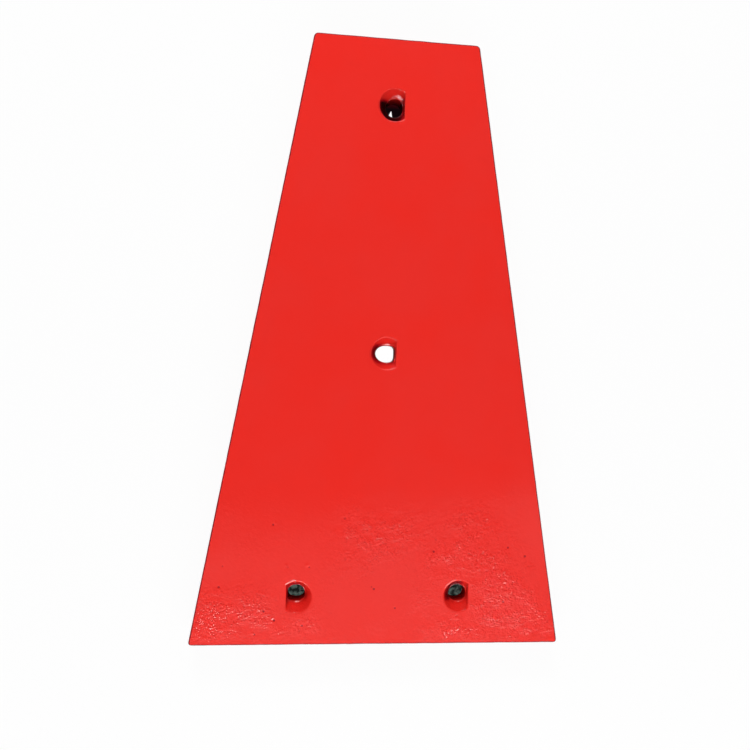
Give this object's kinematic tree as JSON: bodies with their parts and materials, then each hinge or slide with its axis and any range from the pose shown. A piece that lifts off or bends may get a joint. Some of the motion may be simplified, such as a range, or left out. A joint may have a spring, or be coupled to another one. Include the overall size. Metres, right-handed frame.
{
  "type": "jaw crusher cheek plate",
  "caption": "Flat tapered liner for the side wall of a jaw crusher, painted red, with bolt holes that open into tapered seats with one flat side.",
  "frame": {"origin": "centre of the plate's outline, on the back face", "axes": "+Z out of the wear face, +Y along the centreline from the wide end to the narrow end, +X across the plate"},
  "size_m": [0.558, 0.8998, 0.04],
  "materials": {
    "red_paint": "gloss"
  },
  "bodies": {
    "root": {"cheek_plate": "red_paint"}
  },
  "joints": []
}
